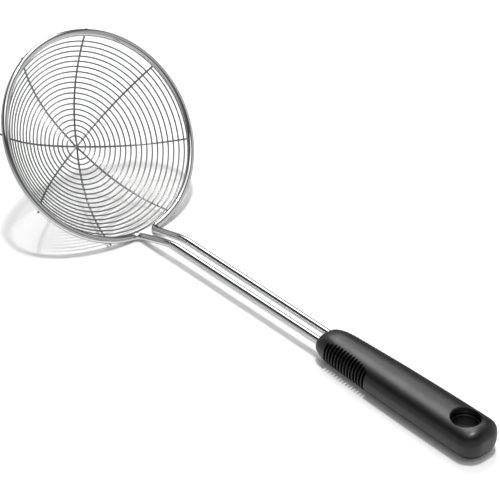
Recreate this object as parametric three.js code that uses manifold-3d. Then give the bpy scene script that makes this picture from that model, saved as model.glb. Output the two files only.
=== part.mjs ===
// Wire skimmer: a spiral-wound bowl on four crossed ribs, welded under the hoop of one bent rod with a soft grip.
// Sizes are in millimetres, +Z is up and the handle points along +X.
// The skimmer lies on a table, on the two corners of its neck and on the flat under its grip.

import * as THREE from "three";
import { mergeVertices } from "three/addons/utils/BufferGeometryUtils.js";
import Module from "manifold-3d";

const wasm = await Module();
wasm.setup();

const DEGREE = Math.PI / 180;

// Rod: the hoop, the neck and both legs of the shaft are one length of wire
const ROD_DIAMETER = 4.2;
const RIM_RADIUS = 63;
const BASKET_TILT = 48.6 * DEGREE;
const NECK_HALF_WIDTH = 5.4;
const NECK_CORNER = 5.2;
const NECK_LENGTH = 28.5;
const LEG_SPACING = 8.6;
const SHAFT_BEND = 7;
const SHAFT_LENGTH = 120.5;
const ROD_INSERT = 60;

// Ribs: straight-sided wires bent to the bowl's profile, lapped where they cross
const RIB_DIAMETER = 1.2;
const RIB_COUNT = 4;
const RIB_OVERHANG = 0.6;
const BOWL_SAG = 24;
const BOWL_POWER = 2.45;
const WELD_GAP = 0.12;
const LAP_GAP = 0.04;

// Spiral: one wire wound from the centre out to the hoop, on top of the ribs
const SPIRAL_DIAMETER = 1;
const SPIRAL_TURNS = 19.25;
const SPIRAL_START = 5.2;
const SPIRAL_EDGE = 1.4;

// Grip: an oval sleeve that widens towards its rounded end, hung a little below the shaft's axis
const GRIP_LENGTH = 127.3;
const GRIP_FRONT_WIDTH = 21.2;
const GRIP_FRONT_HEIGHT = 16.6;
const GRIP_REAR_WIDTH = 27.8;
const GRIP_REAR_HEIGHT = 19;
const GRIP_FRONT_POWER = 2.4;
const GRIP_REAR_POWER = 2.8;
const GRIP_DROP = 1;
const REST_FLAT = 0.3;
const NOSE_LENGTH = 14;
const NOSE_FACE = 0.3;
const TAIL_PLAN_ROUND = 10.5;
const TAIL_SIDE_ROUND = 6.5;

// Hang hole: a bore through the sleeve, with the core's ring as a ledge inside it
const HOLE_DIAMETER = 17;
const HOLE_TO_TAIL = 17;
const HOLE_EDGE = 0.8;

// Side grooves: rows of slots that leave soft fins on both flanks
const GROOVE_COUNT = 14;
const GROOVE_PITCH = 2.56;
const GROOVE_WIDTH = 1.65;
const GROOVE_START = 10.4;
const GROOVE_DEPTH = 2.6;
const GROOVE_HALF_HEIGHT = 6.5;
const GROOVE_WEB = 0.6;

// Core: the hard bar inside the sleeve that grips the two legs and frames the hole
const CORE_WALL = 1.2;
const CORE_SETBACK = 6;
const CORE_HOLE_DIAMETER = 15;
const CORE_RING_WALL = 3;
const FIT_GAP = 0.3;

// Fineness of the faceted surfaces
const ROD_SIDES = 12;
const RIB_SIDES = 8;
const SPIRAL_SIDES = 6;
const RIM_STEPS = 72;
const BEND_STEPS = 6;
const RIB_HALF_STEPS = 12;
const STEPS_PER_TURN = 24;
const GRIP_SIDES = 32;
const GROOVE_SIDES = 12;
const ROUND_STEPS = 5;
const BORE_SIDES = 24;

const rodRadius = ROD_DIAMETER / 2;
const ribRadius = RIB_DIAMETER / 2;
const spiralRadius = SPIRAL_DIAMETER / 2;
const gripHeight = GRIP_REAR_HEIGHT / 2 - REST_FLAT;
const shaftHeight = gripHeight + GRIP_DROP;
const noseX = NECK_LENGTH + SHAFT_LENGTH;
const tailX = noseX + GRIP_LENGTH;
const holeX = tailX - HOLE_TO_TAIL;

// The hoop leaves the neck at this angle, measured round the rim from the neck's middle.
const hoopStart = Math.atan2(NECK_CORNER, RIM_RADIUS)
  + Math.asin(NECK_HALF_WIDTH / Math.hypot(RIM_RADIUS, NECK_CORNER));
const cornerReach = RIM_RADIUS * Math.cos(hoopStart) + NECK_CORNER * Math.sin(hoopStart);

// The rounded corners dip less than their sharp vertices, and their lowest points touch the table.
const neckRise = shaftHeight - rodRadius;
const neckFall = (NECK_CORNER * neckRise) / Math.hypot(NECK_LENGTH, neckRise);
const hoopFall = NECK_CORNER * Math.sin(hoopStart) * Math.sin(BASKET_TILT);
const cornerHeight = rodRadius - (neckFall * hoopFall) / (neckFall + hoopFall);

// Basket frame: origin at the hoop's centre, +Z out of the open bowl, +X towards the neck
const basketPlace = new THREE.Matrix4()
  .makeRotationY(BASKET_TILT)
  .setPosition(-cornerReach * Math.cos(BASKET_TILT), 0, cornerHeight + cornerReach * Math.sin(BASKET_TILT));

// A path that passes through given stations, so that a swept section turns exactly there.
class StationPath extends THREE.Curve {
  constructor(stations) {
    super();
    this.stations = stations;
  }

  getPoint(t) {
    const last = this.stations.length - 1;
    const index = Math.min(Math.floor(t * last), last - 1);
    return this.stations[index].clone().lerp(this.stations[index + 1], t * last - index);
  }

  getPointAt(u) {
    return this.getPoint(u);
  }

  getTangentAt(u) {
    const last = this.stations.length - 1;
    const index = Math.round(u * last);
    const here = this.stations[index];
    const tangent = new THREE.Vector3();
    if (index > 0) {
      tangent.add(here.clone().sub(this.stations[index - 1]).normalize());
    }
    if (index < last) {
      tangent.add(this.stations[index + 1].clone().sub(here).normalize());
    }
    return tangent.normalize();
  }
}

// Distance below the hoop's plane of a rib's centreline, against distance from the bowl's axis.
const rimSlope = (BOWL_POWER * BOWL_SAG) / RIM_RADIUS;
const ribDrop = (rodRadius + ribRadius + WELD_GAP) * Math.hypot(1, rimSlope);
const bowlDepth = (distance) => ribDrop + BOWL_SAG * (1 - (Math.abs(distance) / RIM_RADIUS) ** BOWL_POWER);

// The profile of one half rib, from the bowl's axis to the hoop, measured along its length.
class RibProfile extends THREE.Curve {
  getPoint(t) {
    const distance = t * RIM_RADIUS;
    return new THREE.Vector2(distance, -bowlDepth(distance));
  }
}

function ring(radius, sides) {
  const points = [];
  for (let i = 0; i < sides; i++) {
    const angle = (2 * Math.PI * i) / sides;
    points.push(new THREE.Vector2(radius * Math.cos(angle), radius * Math.sin(angle)));
  }
  return new THREE.Shape(points);
}

function tube(stations, radius, sides) {
  const settings = {
    steps: stations.length - 1,
    extrudePath: new StationPath(stations),
    bevelEnabled: false,
  };
  return new THREE.ExtrudeGeometry(ring(radius, sides), settings);
}

function solidFrom(geometry) {
  const bare = new THREE.BufferGeometry();
  bare.setAttribute("position", geometry.getAttribute("position"));
  bare.setIndex(geometry.getIndex());
  const merged = mergeVertices(bare, 1e-4);
  const vertProperties = merged.getAttribute("position").array;
  const triVerts = new Uint32Array(merged.getIndex().array);
  return new wasm.Manifold(new wasm.Mesh({ numProp: 3, vertProperties, triVerts }));
}

function geometryFrom(solid) {
  const { vertProperties, triVerts } = solid.getMesh();
  const geometry = new THREE.BufferGeometry();
  geometry.setAttribute("position", new THREE.BufferAttribute(vertProperties, 3));
  geometry.setIndex(new THREE.BufferAttribute(triVerts, 1));
  geometry.computeVertexNormals();
  return geometry;
}

function box(low, high) {
  const size = high.clone().sub(low);
  const middle = low.clone().add(high).multiplyScalar(0.5);
  const geometry = new THREE.BoxGeometry(size.x, size.y, size.z);
  return solidFrom(geometry.translate(middle.x, middle.y, middle.z));
}

// A round bar along +X at the shaft's height, from one place to another.
function barAlongX(fromX, toX, y, radius) {
  const geometry = new THREE.CylinderGeometry(radius, radius, toX - fromX, BORE_SIDES);
  geometry.rotateZ(Math.PI / 2);
  return solidFrom(geometry.translate((fromX + toX) / 2, y, shaftHeight));
}

// A round bar along +Z in the hang hole, centred on the shaft's height.
function barAtHole(radius, length) {
  const geometry = new THREE.CylinderGeometry(radius, radius, length, BORE_SIDES);
  geometry.rotateX(Math.PI / 2);
  return solidFrom(geometry.translate(holeX, 0, shaftHeight));
}

// Skins sections that all have the same number of points, and closes both ends flat.
function loft(sections) {
  const count = sections[0].length;
  const index = [];
  for (let s = 0; s + 1 < sections.length; s++) {
    for (let i = 0; i < count; i++) {
      const a = s * count + i;
      const b = s * count + ((i + 1) % count);
      index.push(a, b, b + count, a, b + count, a + count);
    }
  }
  const end = (sections.length - 1) * count;
  for (let i = 1; i + 1 < count; i++) {
    index.push(0, i + 1, i, end, end + i, end + i + 1);
  }
  const points = sections.flat().flatMap((point) => point.toArray());
  const geometry = new THREE.BufferGeometry();
  geometry.setAttribute("position", new THREE.Float32BufferAttribute(points, 3));
  geometry.setIndex(index);
  return geometry;
}

// The rod runs up one leg, round the hoop and back down the other leg.
function rodStations() {
  const legEnd = new THREE.Vector3(noseX + ROD_INSERT, LEG_SPACING / 2, shaftHeight);
  const bend = new THREE.Vector3(NECK_LENGTH, LEG_SPACING / 2, shaftHeight);
  const corner = new THREE.Vector3(0, NECK_HALF_WIDTH, cornerHeight);
  const hoopPoint = (angle) => new THREE.Vector3(RIM_RADIUS * Math.cos(angle), RIM_RADIUS * Math.sin(angle), 0)
    .applyMatrix4(basketPlace);
  const towards = (from, to, distance) => to.clone().sub(from).setLength(distance).add(from);

  const shaftBend = new THREE.QuadraticBezierCurve3(
    towards(bend, legEnd, SHAFT_BEND), bend, towards(bend, corner, SHAFT_BEND));
  const neckCorner = new THREE.QuadraticBezierCurve3(
    towards(corner, bend, NECK_CORNER), corner, hoopPoint(hoopStart));
  const leg = [legEnd, ...shaftBend.getPoints(BEND_STEPS), ...neckCorner.getPoints(BEND_STEPS)];
  const otherLeg = leg.map((point) => new THREE.Vector3(point.x, -point.y, point.z)).reverse();

  const hoop = [];
  const hoopSweep = 2 * (Math.PI - hoopStart);
  for (let i = 1; i < RIM_STEPS; i++) {
    hoop.push(hoopPoint(hoopStart + (hoopSweep * i) / RIM_STEPS));
  }
  return [...leg, ...hoop, ...otherLeg];
}

// Where the ribs cross, each keeps its own thin layer of one wire's height, so that all four lie level.
function ribSolid(order) {
  const tip = RIM_RADIUS + rodRadius + RIB_OVERHANG;
  const stations = [];
  for (let i = -RIB_HALF_STEPS; i <= RIB_HALF_STEPS; i++) {
    const distance = (tip * i) / RIB_HALF_STEPS;
    stations.push(new THREE.Vector3(distance, 0, -bowlDepth(distance)));
  }
  const wire = solidFrom(tube(stations, ribRadius, RIB_SIDES));

  const spacing = Math.PI / RIB_COUNT;
  const reach = ribRadius / Math.sin(spacing / 2) + LAP_GAP;
  const layer = RIB_DIAMETER / RIB_COUNT;
  const bottom = -bowlDepth(0) - ribRadius;
  const lapLow = bottom + order * layer + LAP_GAP / 2;
  const lapHigh = lapLow + layer - LAP_GAP;
  const below = box(
    new THREE.Vector3(-reach, -RIB_DIAMETER, bottom - RIB_DIAMETER),
    new THREE.Vector3(reach, RIB_DIAMETER, lapLow));
  const above = box(
    new THREE.Vector3(-reach, -RIB_DIAMETER, lapHigh),
    new THREE.Vector3(reach, RIB_DIAMETER, bottom + 2 * RIB_DIAMETER));
  return wire.subtract(below).subtract(above);
}

// The spiral keeps one pitch along the ribs, from its inner end on the first rib to its outer end.
function spiralStations() {
  const profile = new RibProfile();
  const length = profile.getLength();
  const pitch = (length - SPIRAL_EDGE - SPIRAL_START) / SPIRAL_TURNS;
  const lift = ribRadius + spiralRadius + WELD_GAP;
  const firstRib = Math.PI / RIB_COUNT / 2;
  const stations = [];
  const steps = Math.round(SPIRAL_TURNS * STEPS_PER_TURN);
  for (let i = 0; i <= steps; i++) {
    const turn = (SPIRAL_TURNS * i) / steps;
    const along = (SPIRAL_START + pitch * turn) / length;
    const point = profile.getPointAt(along);
    const tangent = profile.getTangentAt(along);
    const distance = point.x - lift * tangent.y;
    const height = point.y + lift * tangent.x;
    const angle = firstRib + 2 * Math.PI * turn;
    stations.push(new THREE.Vector3(distance * Math.cos(angle), distance * Math.sin(angle), height));
  }
  const tail = (end, before) => end.clone().sub(before).setLength(SPIRAL_DIAMETER).add(end);
  stations.unshift(tail(stations[0], stations[1]));
  stations.push(tail(stations.at(-1), stations.at(-2)));
  return stations;
}

// Least clear space between neighbouring turns, measured between stations at least half a turn apart.
function leastGap(stations, diameter) {
  let least = Infinity;
  for (let i = 0; i < stations.length; i++) {
    for (let j = i + STEPS_PER_TURN / 2; j < stations.length; j++) {
      least = Math.min(least, stations[i].distanceTo(stations[j]) - diameter);
    }
  }
  return least;
}

// How far a rounded end has drawn in at a distance from that end.
const drawnIn = (distance, round) =>
  distance < round ? round - Math.sqrt(round ** 2 - (round - distance) ** 2) : 0;

// One oval section of the grip, a superellipse that swells and grows squarer towards the rear.
function gripSection(x, inset, sides) {
  const along = 1 - ((tailX - x) / GRIP_LENGTH) ** 2;
  const nose = Math.min((x - noseX) / NOSE_LENGTH, 1);
  const noseShare = NOSE_FACE + (1 - NOSE_FACE) * Math.sqrt(1 - (1 - nose) ** 2);
  const halfWidth = THREE.MathUtils.lerp(GRIP_FRONT_WIDTH, GRIP_REAR_WIDTH, along) / 2;
  const halfHeight = THREE.MathUtils.lerp(GRIP_FRONT_HEIGHT, GRIP_REAR_HEIGHT, along) / 2;
  const power = THREE.MathUtils.lerp(GRIP_FRONT_POWER, GRIP_REAR_POWER, along);
  const wide = halfWidth * noseShare - drawnIn(tailX - x, TAIL_PLAN_ROUND) - inset;
  const high = halfHeight * noseShare - drawnIn(tailX - x, TAIL_SIDE_ROUND) - inset;
  const points = [];
  for (let i = 0; i < sides; i++) {
    const angle = (2 * Math.PI * i) / sides;
    const across = Math.sign(Math.cos(angle)) * Math.abs(Math.cos(angle)) ** (2 / power);
    const upward = Math.sign(Math.sin(angle)) * Math.abs(Math.sin(angle)) ** (2 / power);
    points.push(new THREE.Vector3(x, wide * across, gripHeight + high * upward));
  }
  return points;
}

// The sleeve's outside, flat underneath where it lies on the table.
function gripOutside() {
  const places = [];
  for (let i = 0; i < ROUND_STEPS; i++) {
    places.push(noseX + NOSE_LENGTH * (1 - Math.cos((Math.PI * i) / ROUND_STEPS / 2)));
  }
  const tailStart = tailX - TAIL_PLAN_ROUND;
  for (let i = 0; i < ROUND_STEPS; i++) {
    places.push(THREE.MathUtils.lerp(noseX + NOSE_LENGTH, tailStart, i / ROUND_STEPS));
  }
  for (let i = 0; i <= 2 * ROUND_STEPS; i++) {
    places.push(tailStart + TAIL_PLAN_ROUND * Math.sin((Math.PI * i) / ROUND_STEPS / 4));
  }
  const oval = solidFrom(loft(places.map((x) => gripSection(x, 0, GRIP_SIDES))));
  const table = box(
    new THREE.Vector3(noseX - GRIP_LENGTH, -GRIP_REAR_WIDTH, -GRIP_REAR_HEIGHT),
    new THREE.Vector3(tailX + GRIP_LENGTH, GRIP_REAR_WIDTH, 0));
  return oval.subtract(table);
}

// The bar and ring of the core, grown all round by a clearance where it is used as a cutter.
function coreBlank(grow) {
  const radius = rodRadius + FIT_GAP + CORE_WALL + grow;
  const frontX = noseX + CORE_SETBACK - grow;
  const oval = new THREE.Shape();
  oval.absarc(0, LEG_SPACING / 2, radius, 0, Math.PI);
  oval.absarc(0, -LEG_SPACING / 2, radius, Math.PI, 2 * Math.PI);
  const settings = { depth: holeX - frontX, bevelEnabled: false, curveSegments: BORE_SIDES / 2 };
  const geometry = new THREE.ExtrudeGeometry(oval, settings).rotateY(Math.PI / 2);
  const bar = solidFrom(geometry.translate(frontX, 0, shaftHeight));
  return bar.add(barAtHole(CORE_HOLE_DIAMETER / 2 + CORE_RING_WALL + grow, 2 * radius));
}

function legBores(fromX, toX) {
  const radius = rodRadius + FIT_GAP;
  const left = barAlongX(fromX, toX, LEG_SPACING / 2, radius);
  return left.add(barAlongX(fromX, toX, -LEG_SPACING / 2, radius));
}

function coreSolid() {
  const bores = legBores(noseX, noseX + ROD_INSERT + FIT_GAP);
  const hole = barAtHole(CORE_HOLE_DIAMETER / 2, GRIP_REAR_HEIGHT);
  return coreBlank(0).subtract(bores).subtract(hole);
}

// The hang hole with both edges rounded over, as one cutter turned about the hole's axis.
function holeCutter() {
  const radius = HOLE_DIAMETER / 2;
  const edgeHeight = GRIP_REAR_HEIGHT / 2 - HOLE_EDGE;
  const beyond = GRIP_REAR_HEIGHT / 2;
  const upper = [];
  for (let i = 0; i <= 3; i++) {
    const angle = (Math.PI / 4) * (i / 3);
    const flare = HOLE_EDGE * (1 - Math.cos(angle));
    upper.push(new THREE.Vector2(radius + flare, edgeHeight - HOLE_EDGE / 2 + HOLE_EDGE * Math.sin(angle)));
  }
  const rim = upper.at(-1);
  upper.push(new THREE.Vector2(rim.x + beyond, rim.y + beyond), new THREE.Vector2(0, rim.y + beyond));
  const lower = upper.map((point) => new THREE.Vector2(point.x, -point.y)).reverse();
  const geometry = new THREE.LatheGeometry([...lower, ...upper], BORE_SIDES);
  geometry.rotateX(Math.PI / 2);
  return solidFrom(geometry.translate(holeX, 0, gripHeight));
}

// One pair of slots, whose floors follow the outside and keep a web of sleeve over the core.
function groovePair(order, coreWeb) {
  const middle = noseX + GROOVE_START + order * GROOVE_PITCH;
  const frontX = middle - GROOVE_WIDTH / 2;
  const backX = middle + GROOVE_WIDTH / 2;
  const inner = LEG_SPACING / 2;
  const bottom = gripHeight - GROOVE_HALF_HEIGHT;
  const top = gripHeight + GROOVE_HALF_HEIGHT;
  const left = box(
    new THREE.Vector3(frontX, inner, bottom),
    new THREE.Vector3(backX, GRIP_REAR_WIDTH, top));
  const right = box(
    new THREE.Vector3(frontX, -GRIP_REAR_WIDTH, bottom),
    new THREE.Vector3(backX, -inner, top));
  const ends = [frontX - GROOVE_WIDTH, backX + GROOVE_WIDTH];
  const floor = solidFrom(loft(ends.map((x) => gripSection(x, GROOVE_DEPTH, GROOVE_SIDES))));
  return left.add(right).subtract(floor).subtract(coreWeb);
}

function sleeveSolid() {
  let sleeve = gripOutside().subtract(coreBlank(FIT_GAP)).subtract(holeCutter());
  sleeve = sleeve.subtract(legBores(noseX - CORE_SETBACK, noseX + 2 * CORE_SETBACK));
  const coreWeb = coreBlank(FIT_GAP + GROOVE_WEB);
  for (let i = 0; i < GROOVE_COUNT; i++) {
    sleeve = sleeve.subtract(groovePair(i, coreWeb));
  }
  return sleeve;
}

function steel(roughness) {
  return new THREE.MeshStandardMaterial({ color: 0xc9cbcd, roughness, metalness: 1 });
}

function piece(name, geometry, material) {
  const mesh = new THREE.Mesh(geometry, material);
  mesh.name = name;
  return mesh;
}

function makeBasket() {
  const basket = new THREE.Group();
  for (let i = 0; i < RIB_COUNT; i++) {
    const rib = piece(`rib_wire_${i + 1}`, geometryFrom(ribSolid(i)), steel(0.25));
    rib.rotation.z = (Math.PI * (i + 0.5)) / RIB_COUNT;
    basket.add(rib);
  }
  const spiral = spiralStations();
  console.log(`spiral_wire: least gap to itself ${leastGap(spiral, SPIRAL_DIAMETER).toFixed(2)} mm`);
  basket.add(piece("spiral_wire", tube(spiral, spiralRadius, SPIRAL_SIDES), steel(0.25)));
  basket.applyMatrix4(basketPlace);
  return basket;
}

function makeHandle() {
  const handle = new THREE.Group();
  const hard = new THREE.MeshStandardMaterial({ color: 0x1d1e20, roughness: 0.5, metalness: 0 });
  const soft = new THREE.MeshStandardMaterial({ color: 0x232427, roughness: 0.75, metalness: 0 });
  handle.add(piece("frame_rod", tube(rodStations(), rodRadius, ROD_SIDES), steel(0.12)));
  handle.add(piece("grip_core", geometryFrom(coreSolid()), hard));
  handle.add(piece("grip_sleeve", geometryFrom(sleeveSolid()), soft));
  return handle;
}

// The origin lies on the table, under the middle of the skimmer's length.
const assembly = new THREE.Group();
assembly.add(makeBasket(), makeHandle());
const extent = new THREE.Box3().setFromObject(assembly, true);
assembly.position.x = -(extent.min.x + extent.max.x) / 2;

const skimmer = new THREE.Group();
skimmer.add(assembly);

export default skimmer;
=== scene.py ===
import math

import bpy
import numpy as np
from mathutils import Matrix, Vector


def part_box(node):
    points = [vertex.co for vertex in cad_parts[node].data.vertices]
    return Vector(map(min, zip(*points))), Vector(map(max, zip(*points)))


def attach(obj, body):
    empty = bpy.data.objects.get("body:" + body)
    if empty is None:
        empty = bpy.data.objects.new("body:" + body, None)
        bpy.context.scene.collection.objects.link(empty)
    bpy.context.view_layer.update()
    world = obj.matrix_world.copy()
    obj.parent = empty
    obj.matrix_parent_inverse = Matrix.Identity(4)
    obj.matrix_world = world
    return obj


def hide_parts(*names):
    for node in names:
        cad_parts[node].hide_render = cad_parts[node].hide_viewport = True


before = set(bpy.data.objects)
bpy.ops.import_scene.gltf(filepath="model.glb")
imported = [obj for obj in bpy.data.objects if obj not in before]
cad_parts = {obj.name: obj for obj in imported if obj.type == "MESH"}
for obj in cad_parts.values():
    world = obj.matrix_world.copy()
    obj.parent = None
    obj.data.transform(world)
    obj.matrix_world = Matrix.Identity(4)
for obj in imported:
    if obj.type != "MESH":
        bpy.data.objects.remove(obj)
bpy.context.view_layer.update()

MM = 0.001

# Rod: the hoop, the neck and both legs of the shaft are one length
ROD_RADIUS = 2.1 * MM
RIM_RADIUS = 63 * MM
BASKET_TILT = math.radians(48.6)
NECK_HALF_WIDTH = 5.4 * MM
NECK_CORNER = 5.2 * MM
NECK_LENGTH = 28.5 * MM
LEG_OFFSET = 4.3 * MM
SHAFT_BEND = 7 * MM
SHAFT_LENGTH = 120.5 * MM
ROD_INSERT = 60 * MM

# Ribs and spiral: the wires are pressed a little into each other where they are welded
RIB_RADIUS = 0.56 * MM
RIB_COUNT = 4
RIB_OVERHANG = 0.6 * MM
RIB_LAP = 0.34 * MM
RIB_LAP_REACH = 3.2 * MM
BOWL_SAG = 24 * MM
BOWL_POWER = 2.45
HOOP_WELD = 0.1 * MM
SPIRAL_RADIUS = 0.43 * MM
SPIRAL_TURNS = 19.25
SPIRAL_START = 5.2 * MM
SPIRAL_EDGE = 1.4 * MM
SPIRAL_WELD = 0.12 * MM

# Grip: an oval sleeve that widens towards its rounded end, with a flat face on its nose
GRIP_LENGTH = 127.3 * MM
GRIP_FRONT_WIDTH = 21.2 * MM
GRIP_FRONT_HEIGHT = 16.6 * MM
GRIP_REAR_WIDTH = 27.8 * MM
GRIP_REAR_HEIGHT = 19 * MM
GRIP_FRONT_POWER = 2.4
GRIP_REAR_POWER = 2.8
GRIP_DROP = 1 * MM
REST_FLAT = 0.3 * MM
NOSE_SETBACK = 2.9 * MM
NOSE_PLAN_ROUND = 16.5 * MM
NOSE_PLAN_FACE = 0.69
NOSE_PLAN_POWER = 2
NOSE_SIDE_ROUND = 12 * MM
NOSE_SIDE_FACE = 0.58
NOSE_SIDE_POWER = 1.7
TAIL_PLAN_ROUND = 10.5 * MM
TAIL_SIDE_ROUND = 6.5 * MM
HOLE_RADIUS = 8.5 * MM
HOLE_TO_TAIL = 17 * MM
HOLE_EDGE = 0.8 * MM
HOLE_EDGE_DEPTH = 1.5 * HOLE_EDGE
HOLE_EDGE_TURN = math.pi / 3
HOLE_CUT_BEYOND = 10 * MM

# Side grooves and the fins between them
GROOVE_COUNT = 14
GROOVE_PITCH = 2.41 * MM
GROOVE_HALF_WIDTH = 0.74 * MM
GROOVE_START = 12.85 * MM
GROOVE_DEPTH = 2.6 * MM
GROOVE_HALF_HEIGHT = 7.9 * MM
GROOVE_END_DROP = 1 * MM
GROOVE_END_POWER = 4
GROOVE_WEB = 0.6 * MM
FIN_ROUND = 0.18 * MM

# Core: the hard bar inside the sleeve, with a ring round the hang hole
CORE_WALL = 1.2 * MM
CORE_SETBACK = 6 * MM
CORE_HOLE_RADIUS = 7.5 * MM
CORE_RING_WALL = 3 * MM
CORE_EDGE = 0.5 * MM
CORE_EDGE_TURN = math.pi / 2.2
CORE_CUT_BEYOND = 6 * MM
FIT_GAP = 0.3 * MM

GRIP_HEIGHT = GRIP_REAR_HEIGHT / 2 - REST_FLAT
SHAFT_HEIGHT = GRIP_HEIGHT + GRIP_DROP
NOSE_X = NECK_LENGTH + SHAFT_LENGTH
SLEEVE_X = NOSE_X + NOSE_SETBACK
TAIL_X = NOSE_X + GRIP_LENGTH
HOLE_X = TAIL_X - HOLE_TO_TAIL
CORE_RADIUS = ROD_RADIUS + FIT_GAP + CORE_WALL
NECK_TO_MIDDLE = TAIL_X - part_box("grip_sleeve")[1].x

# The hoop leaves the neck at this angle, and the neck's rounded corners touch the table
HOOP_START = (math.atan2(NECK_CORNER, RIM_RADIUS)
              + math.asin(NECK_HALF_WIDTH / math.hypot(RIM_RADIUS, NECK_CORNER)))
CORNER_REACH = RIM_RADIUS * math.cos(HOOP_START) + NECK_CORNER * math.sin(HOOP_START)
NECK_RISE = SHAFT_HEIGHT - ROD_RADIUS
NECK_FALL = NECK_CORNER * NECK_RISE / math.hypot(NECK_LENGTH, NECK_RISE)
HOOP_FALL = NECK_CORNER * math.sin(HOOP_START) * math.sin(BASKET_TILT)
CORNER_HEIGHT = ROD_RADIUS - NECK_FALL * HOOP_FALL / (NECK_FALL + HOOP_FALL)
BASKET_PLACE = Matrix.Translation((
    -CORNER_REACH * math.cos(BASKET_TILT), 0, CORNER_HEIGHT + CORNER_REACH * math.sin(BASKET_TILT),
)) @ Matrix.Rotation(BASKET_TILT, 4, "Y")
PART_PLACE = Matrix.Translation((-NECK_TO_MIDDLE, 0, 0))
RIM_SLOPE = BOWL_POWER * BOWL_SAG / RIM_RADIUS
BOWL_SIZES = {
    "Rim radius": RIM_RADIUS,
    "Sag": BOWL_SAG,
    "Power": BOWL_POWER,
    "Drop": (ROD_RADIUS + RIB_RADIUS - HOOP_WELD) * math.hypot(1, RIM_SLOPE),
}

# The photograph's view, with angles in degrees. The target is measured from the neck.
CAMERA_AZIMUTH = 45.45
CAMERA_ELEVATION = 35.45
CAMERA_ROLL = 2.26
CAMERA_DISTANCE = 1.8
CAMERA_LENS = 220.38
CAMERA_SENSOR = 36
CAMERA_REACH = 20
TARGET_X = 0.05199
TARGET_Y = 0.0361

# The table
TABLE_HALF_SIZE = 3.0
TABLE_GAP = 0.1 * MM
TABLE_WHITE = 0.97
TABLE_LIFT = 0.05
TABLE_GLOSS = 0.8
TABLE_GLOSS_WHITE = 0.85
TABLE_GLOSS_ROUGHNESS = 0.1

# The light: the key's angles in degrees, and how bright the room is where no panel stands
KEY_STRENGTH = 1.6
KEY_SPREAD = 6
KEY_LEAN = 6
KEY_HEADING = (-0.71, 0.70)
ROOM_LEVEL = 0.06
HORIZON_LEVEL = 0.66
HORIZON_TOP = 0.45
HORIZON_FOOT = -0.05
GAP_START = 0.5
GAP_FULL = 0.92
GAP_DARKNESS = 0.97
PANEL_EDGE_ON = 0.02
PANEL_IN_VIEW = 0.1

# Fineness of the rounded forms
ROD_SIDES = 48
RIB_SIDES = 20
SPIRAL_SIDES = 14
LEG_STEPS = 12
HOOP_STEPS = 260
BEND_STEPS = 24
RIB_STEPS = 180
PROFILE_STEPS = 160
STEPS_PER_TURN = 96
SLEEVE_SIDES = 128
NOSE_STEPS = 30
TAIL_STEPS = 40
BODY_STEPS = 56
FLOOR_STEPS = (0, 0.3, 0.55)
FIN_STEPS = (-1.3, -0.6, 0, 0.6, 1.3, 2.2)
GROOVE_END_STEPS = 26
GROOVE_END_LOW = 0.7
GROOVE_END_HIGH = 0.95
ANGLE_DIGITS = 6
DEPTH_HALVINGS = 24
BORE_SIDES = 96
LEG_BORE_SIDES = 64
HALF_OVAL_STEPS = 33
EDGE_STEPS = 9
SMOOTH_ANGLE = 42


class Port:
    """One output of a node. Arithmetic on it adds Math nodes."""

    def __init__(self, web, socket):
        self.web = web
        self.socket = socket

    def __getitem__(self, name):
        return Port(self.web, self.web.find(self.socket.node.outputs, name))

    def maths(self, operation, *terms):
        return self.web.add("ShaderNodeMath", {"operation": operation}, dict(enumerate(terms)))

    def __add__(self, other):
        return self.maths("ADD", self, other)

    def __radd__(self, other):
        return self.maths("ADD", other, self)

    def __sub__(self, other):
        return self.maths("SUBTRACT", self, other)

    def __rsub__(self, other):
        return self.maths("SUBTRACT", other, self)

    def __mul__(self, other):
        return self.maths("MULTIPLY", self, other)

    def __rmul__(self, other):
        return self.maths("MULTIPLY", other, self)

    def __truediv__(self, other):
        return self.maths("DIVIDE", self, other)

    def __pow__(self, other):
        return self.maths("POWER", self, other)

    def __abs__(self):
        return self.maths("ABSOLUTE", self)

    def cos(self):
        return self.maths("COSINE", self)

    def sin(self):
        return self.maths("SINE", self)

    def at_least(self, other):
        return self.maths("MAXIMUM", self, other)


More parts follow.
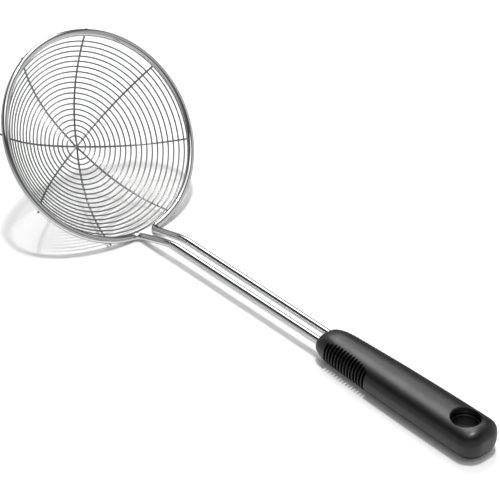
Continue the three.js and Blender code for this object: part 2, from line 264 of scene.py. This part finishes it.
class Web:
    """A node tree that grows one node at a time."""

    def __init__(self, tree):
        self.tree = tree
        tree.nodes.clear()

    def find(self, sockets, key):
        if isinstance(key, int):
            return sockets[key]
        return next(socket for socket in sockets if key in (socket.identifier, socket.name))

    def add(self, kind, settings=None, sockets=None):
        node = self.tree.nodes.new(kind)
        for name, value in (settings or {}).items():
            setattr(node, name, value)
        for key, value in (sockets or {}).items():
            socket = self.find(node.inputs, key)
            if isinstance(value, Port):
                self.tree.links.new(value.socket, socket)
            else:
                socket.default_value = value
        return Port(self, node.outputs[0]) if len(node.outputs) else None

    def vector(self, x, y, z):
        return self.add("ShaderNodeCombineXYZ", None, {"X": x, "Y": y, "Z": z})

    def parts(self, vector):
        split = self.add("ShaderNodeSeparateXYZ", None, {"Vector": vector})
        return split["X"], split["Y"], split["Z"]

    def dot(self, vector, axis):
        return self.add("ShaderNodeVectorMath", {"operation": "DOT_PRODUCT"}, {
            0: vector, 1: axis})["Value"]

    def ease(self, value, low, high, start=0.0, end=1.0):
        return self.add("ShaderNodeMapRange", {"interpolation_type": "SMOOTHSTEP"}, {
            "Value": value, "From Min": low, "From Max": high, "To Min": start, "To Max": end})

    def grazing(self, low, high):
        """0 where a surface faces the viewer, 1 where it is seen edge on."""
        facing = self.add("ShaderNodeLayerWeight", None, {"Blend": 0.5})["Facing"]
        return self.ease(facing, low, high)

    def tint(self, share, colour, other):
        return self.add("ShaderNodeMix", {"data_type": "RGBA"}, {
            "Factor_Float": share, "A_Color": colour, "B_Color": other})["Result_Color"]

    def noise(self, place, scale=1.0, detail=2.0, roughness=0.5):
        return self.add("ShaderNodeTexNoise", {"noise_dimensions": "3D"}, {
            "Vector": place, "Scale": scale, "Detail": detail, "Roughness": roughness})["Fac"]

    def bump(self, height, strength, distance):
        return self.add("ShaderNodeBump", None, {
            "Height": height, "Strength": strength, "Distance": distance})["Normal"]


class WireRule(Web):
    """A geometry tree with named sizes that ends in a round wire."""

    def __init__(self, name, sizes):
        tree = bpy.data.node_groups.new(name, "GeometryNodeTree")
        super().__init__(tree)
        tree.interface.new_socket("Line", in_out="INPUT", socket_type="NodeSocketGeometry")
        for size in sizes:
            tree.interface.new_socket(size, in_out="INPUT", socket_type="NodeSocketFloat")
        tree.interface.new_socket("Wire", in_out="OUTPUT", socket_type="NodeSocketGeometry")
        self.given = self.add("NodeGroupInput")

    def points_along_x(self, count, low, high):
        """A row of joined points, and the X that each one is to have, spread evenly from low to high."""
        row = self.add("GeometryNodeMeshLine", {"mode": "OFFSET"}, {
            "Count": count, "Start Location": (0, 0, 0), "Offset": (0, 0, 0)})
        step = self.add("GeometryNodeInputIndex")
        return row, low + (high - low) * step / (count - 1)

    def moved(self, row, x, y, z):
        return self.add("GeometryNodeSetPosition", None, {
            "Geometry": row, "Position": self.vector(x, y, z)})

    def depth(self, distance):
        """How far a rib's middle lies below the hoop's plane, at a distance from the bowl's axis."""
        share = abs(distance) / self.given["Rim radius"]
        return self.given["Drop"] + self.given["Sag"] * (1 - share ** self.given["Power"])

    def note(self, shape, name, kind, value):
        return self.add("GeometryNodeStoreNamedAttribute", {"data_type": kind, "domain": "POINT"}, {
            "Geometry": shape, "Name": name, "Value": value})

    def draw(self, row, sides, finish):
        """Sweeps a round section along the row, and notes where each point lies along and round the wire."""
        curve = self.add("GeometryNodeMeshToCurve", None, {"Mesh": row})
        curve = self.note(curve, "along", "FLOAT", self.add("GeometryNodeSplineParameter")["Length"])
        radius = self.given["Wire radius"]
        ring = self.add("GeometryNodeCurvePrimitiveCircle", {"mode": "RADIUS"}, {
            "Resolution": sides, "Radius": radius})
        x, y, z = self.parts(self.add("GeometryNodeInputPosition"))
        ring = self.note(ring, "section", "FLOAT_VECTOR", self.vector(x / radius, y / radius, z))
        wire = self.add("GeometryNodeCurveToMesh", None, {
            "Curve": curve, "Profile Curve": ring, "Fill Caps": True})
        # Only the flat ends have more than four corners
        corners = self.add("GeometryNodeInputMeshFaceNeighbors")["Vertex Count"]
        wire = self.add("GeometryNodeSetShadeSmooth", {"domain": "FACE"}, {
            0: wire, "Shade Smooth": corners.maths("LESS_THAN", corners, 5)})
        wire = self.add("GeometryNodeRealizeInstances", None, {"Geometry": wire})
        wire = self.add("GeometryNodeSetMaterial", None, {"Geometry": wire, "Material": finish})
        self.add("NodeGroupOutput", None, {0: wire})

    def bake(self, name, values, line=()):
        """Runs the tree with these sizes on a line of points and returns a plain mesh."""
        start = bpy.data.meshes.new(name)
        start.from_pydata(line, [(i, i + 1) for i in range(len(line) - 1)], [])
        holder = placed(name + "_line", start)
        modifier = holder.modifiers.new("wire", "NODES")
        modifier.node_group = self.tree
        for item in self.tree.interface.items_tree:
            if item.in_out == "INPUT" and item.name in values:
                modifier[item.identifier] = values[item.name]
        return settled(holder, name)


def placed(name, data):
    """A new object in the scene."""
    made = bpy.data.objects.new(name, data)
    bpy.context.scene.collection.objects.link(made)
    return made


def discard(holder):
    """Takes away an object and its mesh."""
    mesh = holder.data
    bpy.data.objects.remove(holder)
    bpy.data.meshes.remove(mesh)


def settled(holder, name):
    """The holder's evaluated mesh as a plain mesh. The holder is taken away."""
    graph = bpy.context.evaluated_depsgraph_get()
    mesh = bpy.data.meshes.new_from_object(holder.evaluated_get(graph), depsgraph=graph)
    discard(holder)
    mesh.name = name
    return mesh


def finish_of(name):
    """A new material, and the empty web that will feed it."""
    material = bpy.data.materials.new(name)
    material.use_nodes = True
    return material, Web(material.node_tree)


def coat(web, sockets):
    """Ends a material's web in one shader."""
    shader = web.add("ShaderNodeBsdfPrincipled", None, sockets)
    web.add("ShaderNodeOutputMaterial", None, {"Surface": shader})


def drawn_steel(name, bright, dull, edge, smooth, spread, streaks, lines):
    """Drawn wire: fine lines run along it, and soft patches change its polish."""
    fine_across, fine_along, patches = 4, 3, 45
    material, web = finish_of(name)
    along = web.add("ShaderNodeAttribute", {"attribute_name": "along"})["Fac"]
    x, y, _ = web.parts(web.add("ShaderNodeAttribute", {"attribute_name": "section"})["Vector"])
    across_x, across_y, lengthwise = x * streaks, y * streaks, along * lines
    streak = web.noise(web.vector(across_x, across_y, lengthwise), detail=3.0, roughness=0.6)
    fine = web.noise(
        web.vector(across_x * fine_across, across_y * fine_across, lengthwise * fine_along), roughness=0.6)
    patch = web.noise(web.vector(x, y, along * patches))
    line = streak * 0.6 + fine * 0.4
    polish = web.ease(patch, 0.3, 0.7)
    coat(web, {
        "Base Color": web.tint(web.ease(line, 0.3, 0.7), dull, bright),
        "Metallic": 1.0,
        # The edge colour tints reflections seen edge on; a dark edge colour paints shade along the wire's
        # outline, a painted dark reflection
        "Specular Tint": edge,
        "Roughness": smooth + spread * (1 - line) + spread * 0.5 * polish,
        "Normal": web.bump(line, strength=0.05, distance=0.00002),
    })
    return material


def soft_rubber():
    """Matte black rubber with a fine moulded grain, a little dusty and slightly rubbed in patches."""
    black, worn = (0.0034, 0.0035, 0.0036, 1), (0.0052, 0.0052, 0.0054, 1)
    dusty = (0.035, 0.035, 0.034, 1)
    material, web = finish_of("soft_black_rubber")
    place = web.add("ShaderNodeTexCoord")["Object"]
    grain = web.noise(place, scale=5200.0, detail=3.0, roughness=0.6)
    pebble = web.add("ShaderNodeTexVoronoi", {"feature": "SMOOTH_F1"}, {
        "Vector": place, "Scale": 2600.0, "Smoothness": 0.6})["Distance"]
    mottle = web.noise(place, scale=1100.0, roughness=0.6)
    relief = grain * 0.3 + pebble * 0.3 + mottle * 0.4
    rubbed = web.ease(web.noise(place, scale=70.0, detail=3.0, roughness=0.55), 0.35, 0.72)
    dust = web.ease(web.noise(place, scale=1400.0), 0.68, 0.8)
    coat(web, {
        "Base Color": web.tint(dust * 0.25, web.tint(rubbed, black, worn), dusty),
        "Roughness": 0.37 - 0.04 * rubbed + 0.08 * (grain - 0.5) + 0.2 * web.grazing(0.45, 0.95),
        "Specular IOR Level": 0.55,
        "Normal": web.bump(relief, strength=0.45, distance=0.0001),
    })
    return material


def hard_plastic():
    """Moulded black plastic, smoother than the rubber, with faint flow marks."""
    black, pale = (0.002, 0.002, 0.0021, 1), (0.004, 0.004, 0.0042, 1)
    flow_along, flow_across = 60, 240
    material, web = finish_of("hard_black_plastic")
    place = web.add("ShaderNodeTexCoord")["Object"]
    x, y, z = web.parts(place)
    flow = web.noise(
        web.vector(x * flow_along, y * flow_across, z * flow_across), detail=3.0, roughness=0.55)
    grain = web.noise(place, scale=3800.0)
    coat(web, {
        "Base Color": web.tint(web.ease(flow, 0.3, 0.7), black, pale),
        "Roughness": 0.34 + 0.1 * flow,
        "Specular IOR Level": 0.25,
        "Normal": web.bump(grain * 0.5 + flow * 0.5, strength=0.1, distance=0.00005),
    })
    return material


def show(name, mesh, node):
    """A finished piece that stands for one CAD node: it hangs from the root body, and the node is hidden."""
    piece = placed(name, mesh)
    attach(piece, "root")
    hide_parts(node)


def curve_points(start, corner, end):
    """A corner rounded from start to end."""
    shares = [i / BEND_STEPS for i in range(BEND_STEPS + 1)]
    return [start * (1 - t) ** 2 + corner * (2 * t * (1 - t)) + end * t ** 2 for t in shares]


def hoop_point(angle):
    return BASKET_PLACE @ Vector((RIM_RADIUS * math.cos(angle), RIM_RADIUS * math.sin(angle), 0))


def towards(place, other, distance):
    return place + (other - place).normalized() * distance


def rod_line():
    """The rod's middle line: up one leg, round the hoop and back down the other leg."""
    leg_end = Vector((NOSE_X + ROD_INSERT, LEG_OFFSET, SHAFT_HEIGHT))
    bend = Vector((NECK_LENGTH, LEG_OFFSET, SHAFT_HEIGHT))
    corner = Vector((0, NECK_HALF_WIDTH, CORNER_HEIGHT))
    leg = [leg_end.lerp(bend, i / LEG_STEPS) for i in range(LEG_STEPS)]
    leg += curve_points(towards(bend, leg_end, SHAFT_BEND), bend, towards(bend, corner, SHAFT_BEND))
    leg += curve_points(towards(corner, bend, NECK_CORNER), corner, hoop_point(HOOP_START))
    sweep = 2 * (math.pi - HOOP_START)
    hoop = [hoop_point(HOOP_START + sweep * i / HOOP_STEPS) for i in range(1, HOOP_STEPS)]
    other_leg = [Vector((point.x, -point.y, point.z)) for point in reversed(leg)]
    return leg + hoop + other_leg


def make_rod(steel):
    """The hoop, the neck and both legs, bent from one rod."""
    rule = WireRule("bent_rod", ["Wire radius"])
    rule.draw(rule.given["Line"], ROD_SIDES, steel)
    mesh = rule.bake("bent_rod", {"Wire radius": ROD_RADIUS}, rod_line())
    mesh.transform(PART_PLACE)
    show("bent_rod", mesh, "frame_rod")


def make_ribs(steel):
    """Four wires right across the bowl. They lap over each other in the middle."""
    rule = WireRule("crossing_rib", ["Wire radius", "Reach", "Lap", "Lap reach", *BOWL_SIZES])
    reach = rule.given["Reach"]
    row, x = rule.points_along_x(RIB_STEPS + 1, 0 - reach, reach)
    near = x / rule.given["Lap reach"]
    lap = rule.given["Lap"] / (1 + near * near * near * near)
    rule.draw(rule.moved(row, x, 0.0, lap - rule.depth(x)), RIB_SIDES, steel)
    for i in range(RIB_COUNT):
        mesh = rule.bake(f"crossing_rib_{i + 1}", {
            "Wire radius": RIB_RADIUS, "Reach": RIM_RADIUS + ROD_RADIUS + RIB_OVERHANG,
            "Lap": RIB_LAP * (i - (RIB_COUNT - 1) / 2), "Lap reach": RIB_LAP_REACH, **BOWL_SIZES})
        turn = Matrix.Rotation(math.pi * (i + 0.5) / RIB_COUNT, 4, "Z")
        mesh.transform(PART_PLACE @ BASKET_PLACE @ turn)
        show(f"crossing_rib_{i + 1}", mesh, f"rib_wire_{i + 1}")


def make_spiral(steel):
    """One wire wound outwards on the ribs, with an even pitch along them."""
    rule = WireRule("wound_spiral", [
        "Wire radius", "Turns", "Start", "Edge", "Lift", "First rib", *BOWL_SIZES])
    row, x = rule.points_along_x(PROFILE_STEPS + 1, 0.0, rule.given["Rim radius"])
    profile = rule.add("GeometryNodeMeshToCurve", None, {
        "Mesh": rule.moved(row, x, 0.0, 0 - rule.depth(x))})
    length = rule.add("GeometryNodeCurveLength", None, {"Curve": profile})
    start, turns, lift = rule.given["Start"], rule.given["Turns"], rule.given["Lift"]
    row, turn = rule.points_along_x(round(SPIRAL_TURNS * STEPS_PER_TURN) + 1, 0.0, turns)
    pitch = (length - rule.given["Edge"] - start) / turns
    found = rule.add("GeometryNodeSampleCurve", {"mode": "LENGTH"}, {
        "Curves": profile, "Length": start + pitch * turn})
    x, _, z = rule.parts(found["Position"])
    run, _, rise = rule.parts(found["Tangent"])
    distance = x - lift * rise
    angle = rule.given["First rib"] + math.tau * turn
    row = rule.moved(row, distance * angle.cos(), distance * angle.sin(), z + lift * run)
    rule.draw(row, SPIRAL_SIDES, steel)
    mesh = rule.bake("wound_spiral", {
        "Wire radius": SPIRAL_RADIUS, "Turns": SPIRAL_TURNS, "Start": SPIRAL_START,
        "Edge": SPIRAL_EDGE, "Lift": RIB_RADIUS + SPIRAL_RADIUS - SPIRAL_WELD,
        "First rib": math.pi / RIB_COUNT / 2, **BOWL_SIZES})
    mesh.transform(PART_PLACE @ BASKET_PLACE)
    show("wound_spiral", mesh, "spiral_wire")


def skin(name, rows):
    """Joins rows of points, each a closed ring, into one body with flat ends."""
    count, around = rows.shape[:2]
    here = np.arange(count * around).reshape(count, around)
    beside = np.roll(here, -1, axis=1)
    quads = np.stack([here[:-1], beside[:-1], beside[1:], here[1:]], -1).reshape(-1, 4)
    ends = [here[0][::-1].tolist(), here[-1].tolist()]
    mesh = bpy.data.meshes.new(name)
    mesh.from_pydata(rows.reshape(-1, 3).tolist(), [], quads.tolist() + ends)
    return placed(name, mesh)


def combine(body, other, operation):
    """Adds the other body to this one or takes it away. The other body is used up."""
    modifier = body.modifiers.new("combine", "BOOLEAN")
    modifier.operation = operation
    modifier.solver = "MANIFOLD"
    modifier.object = other
    name = body.name
    mesh = settled(body, name)
    discard(other)
    return placed(name, mesh)


def drawn_in(distance, rounding):
    """How far the surface lies inside its full size, at a distance from an end rounded by a radius."""
    inside = np.clip(rounding - distance, 0, None)
    height = np.sqrt(np.clip(rounding ** 2 - inside ** 2, 0, None))
    return np.where(distance < rounding, rounding - height, 0.0)


def swell(x, rounding, face, power):
    """How much of its full size the grip has at each place behind the flat face of its nose."""
    left = 1 - np.clip((x - SLEEVE_X) / rounding, 0, 1)
    return face + (1 - face) * (1 - left ** power) ** (1 / power)


def grip_oval(x):
    """Half width, half height and squareness of the grip's section at each place."""
    share = 1 - ((TAIL_X - x) / GRIP_LENGTH) ** 2
    wide = (GRIP_FRONT_WIDTH + (GRIP_REAR_WIDTH - GRIP_FRONT_WIDTH) * share) / 2
    high = (GRIP_FRONT_HEIGHT + (GRIP_REAR_HEIGHT - GRIP_FRONT_HEIGHT) * share) / 2
    wide = wide * swell(x, NOSE_PLAN_ROUND, NOSE_PLAN_FACE, NOSE_PLAN_POWER)
    high = high * swell(x, NOSE_SIDE_ROUND, NOSE_SIDE_FACE, NOSE_SIDE_POWER)
    wide = wide - drawn_in(TAIL_X - x, TAIL_PLAN_ROUND)
    high = high - drawn_in(TAIL_X - x, TAIL_SIDE_ROUND)
    return wide, high, GRIP_FRONT_POWER + (GRIP_REAR_POWER - GRIP_FRONT_POWER) * share


def sleeve_columns():
    """Places along the grip: close together on the rounded ends and across each fin's edges."""
    nose = SLEEVE_X + NOSE_PLAN_ROUND * (1 - np.cos(np.linspace(0, math.pi / 2, NOSE_STEPS)))
    tail = TAIL_X - TAIL_PLAN_ROUND * (1 - np.sin(np.linspace(0, math.pi / 2, TAIL_STEPS)))
    first = NOSE_X + GROOVE_START - GROOVE_PITCH / 2
    last = first + GROOVE_COUNT * GROOVE_PITCH
    half = [share * GROOVE_HALF_WIDTH for share in FLOOR_STEPS]
    half += [GROOVE_HALF_WIDTH + share * FIN_ROUND for share in FIN_STEPS]
    offsets = np.array(sorted({-offset for offset in half} | set(half)))
    grooves = [first + (i + 0.5) * GROOVE_PITCH + offsets for i in range(GROOVE_COUNT)]
    fins = [first + i * GROOVE_PITCH for i in range(GROOVE_COUNT + 1)]
    body = np.linspace(last, tail[0], BODY_STEPS)[1:-1]
    return np.unique(np.concatenate([nose[nose < first], *grooves, fins, body, tail]))


def sleeve_angles():
    """Directions round the section, closer together where the grooves end."""
    even = np.linspace(0, math.tau, SLEEVE_SIDES, endpoint=False)
    close = np.arcsin(np.linspace(GROOVE_END_LOW, GROOVE_END_HIGH, GROOVE_END_STEPS))
    ends = np.concatenate([close, math.pi - close])
    return np.unique(np.round(np.concatenate([even, ends, math.tau - ends]), ANGLE_DIGITS))


def groove_share(x, z):
    """1 on a groove's floor, 0 on a fin, rounded over between them."""
    order = np.clip(np.round((x - NOSE_X - GROOVE_START) / GROOVE_PITCH), 0, GROOVE_COUNT - 1)
    middle = NOSE_X + GROOVE_START + order * GROOVE_PITCH
    drop = GROOVE_END_DROP * (2 * order / (GROOVE_COUNT - 1) - 1) ** GROOVE_END_POWER
    reach = GROOVE_HALF_HEIGHT - drop - GROOVE_HALF_WIDTH
    beyond = np.clip(np.abs(z - GRIP_HEIGHT) - reach, 0, None)
    outside = np.hypot(x - middle, beyond) - GROOVE_HALF_WIDTH
    share = np.clip((FIN_ROUND - outside) / (2 * FIN_ROUND), 0, 1)
    return share * share * (3 - 2 * share)


def core_clearance(y, z):
    """Distance from the middle of the core's bar, in one section."""
    return np.hypot(np.clip(np.abs(y) - LEG_OFFSET, 0, None), z - SHAFT_HEIGHT)


def groove_depth(y, z, face_y, face_z):
    """How deep a groove can be at each point without getting too near the core."""
    web = CORE_RADIUS + FIT_GAP + GROOVE_WEB
    low, deep = np.zeros_like(y), np.full_like(y, GROOVE_DEPTH)
    for _ in range(DEPTH_HALVINGS):
        middle = (low + deep) / 2
        clear = core_clearance(y - face_y * middle, z - face_z * middle) > web
        low = np.where(clear, middle, low)
        deep = np.where(clear, deep, middle)
    return low


def sleeve_rows():
    """The sleeve's outside, with its grooves pressed in and a flat to rest on."""
    x = sleeve_columns()[:, None]
    angle = sleeve_angles()[None, :]
    wide, high, power = grip_oval(x)
    across, upward = np.cos(angle), np.sin(angle)
    size = (np.abs(across) ** power + np.abs(upward) ** power) ** (-1 / power)
    y = wide * across * size
    z = high * upward * size
    face_y = np.sign(y) * (np.abs(y) / wide) ** (power - 1) / wide
    face_z = np.sign(z) * (np.abs(z) / high) ** (power - 1) / high
    slope = np.hypot(face_y, face_z)
    face_y, face_z = face_y / slope, face_z / slope
    z = z + GRIP_HEIGHT
    share = groove_share(x + 0 * y, z)
    depth = groove_depth(y, z, face_y, face_z)
    y = y - face_y * depth * share
    z = np.maximum(z - face_z * depth * share, 0)
    return np.stack([x + 0 * y, y, z], -1)


def turned(name, profile, height):
    """A body turned about the hang hole's axis, from (radius, height) pairs that run upwards."""
    angle = np.linspace(0, math.tau, BORE_SIDES, endpoint=False)
    radius = np.array([r for r, _ in profile])[:, None]
    level = np.array([h for _, h in profile])[:, None]
    x, y = HOLE_X + radius * np.cos(angle), radius * np.sin(angle)
    return skin(name, np.stack([x, y, height + level + 0 * angle], -1))


def flared(radius, edge_height, edge, sweep, beyond):
    """Profile of a bore whose edges are rounded over by a radius, through a quarter turn or less."""
    angles = np.linspace(0, sweep, EDGE_STEPS)
    upper = [(radius + edge * (1 - math.cos(a)), edge_height + edge * math.sin(a)) for a in angles]
    last = upper[-1]
    upper.append((last[0] + beyond / math.tan(sweep), last[1] + beyond))
    return [(r, -h) for r, h in reversed(upper)] + upper


def bar(name, outline, start, end):
    """A straight bar along X with one ring of (y, z) points as its section."""
    rows = [[(x, y, SHAFT_HEIGHT + z) for y, z in outline] for x in (start, end)]
    return skin(name, np.array(rows))


def oval_outline(radius):
    """Two half circles round the legs, joined by straight sides."""
    angles = np.linspace(-math.pi / 2, math.pi / 2, HALF_OVAL_STEPS)
    right = [(LEG_OFFSET + radius * math.cos(a), radius * math.sin(a)) for a in angles]
    return right + [(-y, -z) for y, z in right]


def core_blank(name, grow):
    """The core's bar and ring before drilling, grown all round."""
    radius = CORE_RADIUS + grow
    body = bar(name, oval_outline(radius), NOSE_X + CORE_SETBACK - grow, HOLE_X)
    outer = CORE_HOLE_RADIUS + CORE_RING_WALL + grow
    ring = turned(name + "_ring", [(outer, -radius), (outer, radius)], SHAFT_HEIGHT)
    return combine(body, ring, "UNION")


def leg_bore(side, start, end):
    """What is drilled out for one leg."""
    angles = np.linspace(0, math.tau, LEG_BORE_SIDES, endpoint=False)
    radius = ROD_RADIUS + FIT_GAP
    ring = [(side * LEG_OFFSET + radius * math.cos(a), radius * math.sin(a)) for a in angles]
    return bar("leg_bore", ring, start, end)


def drilled(body, hole, bore_start, bore_end):
    """The body without its hang hole and without the bores for the two legs."""
    body = combine(body, hole, "DIFFERENCE")
    for side in (1, -1):
        body = combine(body, leg_bore(side, bore_start, bore_end), "DIFFERENCE")
    return body


def make_sleeve(rubber):
    """The soft sleeve, with room inside for the core."""
    sleeve = skin("soft_sleeve", sleeve_rows())
    sleeve = combine(sleeve, core_blank("core_room", FIT_GAP), "DIFFERENCE")
    profile = flared(
        HOLE_RADIUS, GRIP_REAR_HEIGHT / 2 - HOLE_EDGE_DEPTH, HOLE_EDGE, HOLE_EDGE_TURN, HOLE_CUT_BEYOND)
    hole = turned("hang_hole", profile, GRIP_HEIGHT)
    sleeve = drilled(sleeve, hole, NOSE_X - CORE_SETBACK, NOSE_X + 2 * CORE_SETBACK)
    finish_piece(sleeve, rubber, "grip_sleeve")


def make_core(plastic):
    """The hard core, with a smaller hang hole that shows as a ledge inside the sleeve's."""
    core = core_blank("hard_core", 0)
    profile = flared(
        CORE_HOLE_RADIUS, CORE_RADIUS - CORE_EDGE, CORE_EDGE, CORE_EDGE_TURN, CORE_CUT_BEYOND)
    hole = turned("core_hole", profile, SHAFT_HEIGHT)
    core = drilled(core, hole, NOSE_X, NOSE_X + ROD_INSERT + FIT_GAP)
    finish_piece(core, plastic, "grip_core")


def finish_piece(body, finish, node):
    """Gives a body its finish, its smooth faces and its place, and lets it stand for its CAD node."""
    mesh, name = body.data, body.name
    bpy.data.objects.remove(body)
    mesh.materials.clear()
    mesh.materials.append(finish)
    mesh.transform(PART_PLACE)
    mesh.polygons.foreach_set("use_smooth", np.ones(len(mesh.polygons), bool))
    mesh.set_sharp_from_angle(angle=math.radians(SMOOTH_ANGLE))
    show(name, mesh, node)


def make_camera():
    """The photograph's view, from above the grip's end, a little tilted to one side."""
    azimuth, elevation, roll = (
        math.radians(a) for a in (CAMERA_AZIMUTH, CAMERA_ELEVATION, CAMERA_ROLL))
    target = Vector((TARGET_X - NECK_TO_MIDDLE, TARGET_Y, 0))
    back = Vector((math.sin(azimuth) * math.cos(elevation),
                   -math.cos(azimuth) * math.cos(elevation),
                   math.sin(elevation)))
    right = Vector((math.cos(azimuth), math.sin(azimuth), 0))
    level = Matrix((right, back.cross(right), back)).transposed().to_4x4()
    place = Matrix.Translation(target + back * CAMERA_DISTANCE)
    camera = placed("camera", bpy.data.cameras.new("camera"))
    camera.data.sensor_width = CAMERA_SENSOR
    camera.data.lens = CAMERA_LENS
    camera.data.clip_end = CAMERA_REACH
    camera.matrix_world = place @ level @ Matrix.Rotation(roll, 4, "Z")
    bpy.context.scene.camera = camera


def white_table():
    """White paint with a slight lift, and a gloss for what stands on it. It is open to view from below."""
    material, web = finish_of("white_table")
    paint = web.add("ShaderNodeBsdfDiffuse", None, {"Color": (TABLE_WHITE, TABLE_WHITE, TABLE_WHITE, 1)})
    glow = web.add("ShaderNodeEmission", None, {"Color": (1, 1, 1, 1), "Strength": TABLE_LIFT})
    lifted = web.add("ShaderNodeAddShader", None, {0: paint, 1: glow})
    path = web.add("ShaderNodeLightPath")
    mirrored = path["Is Glossy Ray"]
    seen = path["Is Camera Ray"].at_least(mirrored)
    white = web.add("ShaderNodeMixShader", None, {0: seen, 1: paint, 2: lifted})
    gloss = web.add("ShaderNodeBsdfGlossy", None, {
        "Color": (TABLE_GLOSS_WHITE, TABLE_GLOSS_WHITE, TABLE_GLOSS_WHITE, 1),
        "Roughness": TABLE_GLOSS_ROUGHNESS})
    shine = TABLE_GLOSS * web.grazing(0.35, 0.7) * mirrored
    top = web.add("ShaderNodeMixShader", None, {0: shine, 1: white, 2: gloss})
    clear = web.add("ShaderNodeBsdfTransparent")
    under = web.add("ShaderNodeNewGeometry")["Backfacing"]
    surface = web.add("ShaderNodeMixShader", None, {0: under, 1: top, 2: clear})
    web.add("ShaderNodeOutputMaterial", None, {"Surface": surface})
    return material


def make_floor():
    """A wide table top just under the part."""
    half = TABLE_HALF_SIZE
    corners = [(-half, -half, 0), (half, -half, 0), (half, half, 0), (-half, half, 0)]
    mesh = bpy.data.meshes.new("table_top")
    mesh.from_pydata(corners, [], [(0, 1, 2, 3)])
    mesh.transform(Matrix.Translation((0, 0, -TABLE_GAP)))
    mesh.materials.append(white_table())
    floor = placed("table_top", mesh)


def make_key():
    """A small lamp high above, leaning a little away from the camera."""
    lamp = bpy.data.lights.new("key", "SUN")
    lamp.energy = KEY_STRENGTH
    lamp.angle = math.radians(KEY_SPREAD)
    lean = math.radians(KEY_LEAN)
    x, y = (share * math.sin(lean) for share in KEY_HEADING)
    key = placed("key", lamp)
    key.rotation_mode = "QUATERNION"
    key.rotation_quaternion = Vector((x, y, math.cos(lean))).to_track_quat("Z", "Y")


def panel(web, view, aside, height, wide, high, soft, level):
    """A flat light or grey wall far away. It stands aside from the camera's line of sight and above the
    table, in degrees. Its half width and half height are shares of its distance."""
    turn = Matrix.Rotation(math.radians(CAMERA_AZIMUTH - aside), 3, "Z")
    turn = turn @ Matrix.Rotation(math.radians(height), 3, "X")
    axes = ((1, 0, 0), (0, 1, 0), (0, 0, 1))
    across, ahead, upward = [web.dot(view, turn @ Vector(axis)) for axis in axes]
    facing = web.ease(ahead, PANEL_EDGE_ON, PANEL_IN_VIEW)
    depth = ahead.at_least(PANEL_EDGE_ON)
    across = web.ease(abs(across / depth), wide, wide * (1 - soft))
    upward = web.ease(abs(upward / depth), high, high * (1 - soft))
    return facing * across * upward * level


def make_studio():
    """White to the camera. The part sees a softbox behind, grey walls on the left, on the right and in
    front, a strip and a ceiling above, and a pale horizon with a dark gap behind."""
    world = bpy.data.worlds.new("studio")
    world.use_nodes = True
    bpy.context.scene.world = world
    web = Web(world.node_tree)
    view = web.add("ShaderNodeTexCoord")["Generated"]
    softbox = (
        panel(web, view, aside=-11, height=47, wide=0.22, high=0.44, soft=0.4, level=4.8)
        + panel(web, view, aside=2, height=42, wide=0.24, high=0.22, soft=0.3, level=0.7))
    left_wall = panel(web, view, aside=-45, height=20, wide=0.45, high=0.22, soft=0.5, level=0.5)
    right_wall = panel(web, view, aside=72, height=26, wide=1.1, high=0.5, soft=0.6, level=0.42)
    front_wall = panel(web, view, aside=180, height=26, wide=1.0, high=0.5, soft=0.6, level=0.12)
    top_strip = panel(web, view, aside=172, height=67, wide=0.36, high=0.2, soft=0.5, level=1.3)
    ceiling = panel(web, view, aside=0, height=84, wide=0.66, high=0.66, soft=0.6, level=1.05)
    away = Matrix.Rotation(math.radians(CAMERA_AZIMUTH), 3, "Z") @ Vector((0, 1, 0))
    behind = web.ease(web.dot(view, away), GAP_START, GAP_FULL)
    horizon = web.ease(web.parts(view)[2], HORIZON_TOP, HORIZON_FOOT, 0.0, HORIZON_LEVEL)
    horizon = horizon * (1 - GAP_DARKNESS * behind)
    level = ROOM_LEVEL + softbox + left_wall + right_wall + front_wall + top_strip + ceiling + horizon
    seen = web.add("ShaderNodeLightPath")["Is Camera Ray"]
    level = level * (1 - seen) + seen
    sky = web.add("ShaderNodeBackground", None, {"Color": (1, 1, 1, 1), "Strength": level})
    web.add("ShaderNodeOutputWorld", None, {"Surface": sky})


# The rod's dark edge colour is painted shade: a painted dark reflection along its outline
rod_steel = drawn_steel(
    "polished_rod_steel", bright=(0.76, 0.76, 0.765, 1), dull=(0.69, 0.69, 0.685, 1),
    edge=(0.2, 0.2, 0.2, 1), smooth=0.05, spread=0.05, streaks=9.0, lines=70.0)
wire_steel = drawn_steel(
    "drawn_wire_steel", bright=(0.33, 0.33, 0.33, 1), dull=(0.24, 0.24, 0.237, 1),
    edge=(1, 1, 1, 1), smooth=0.22, spread=0.1, streaks=5.0, lines=160.0)
make_rod(rod_steel)
make_ribs(wire_steel)
make_spiral(wire_steel)
make_sleeve(soft_rubber())
make_core(hard_plastic())
make_floor()
make_key()
make_studio()
make_camera()
bpy.context.scene.view_settings.view_transform = "Standard"
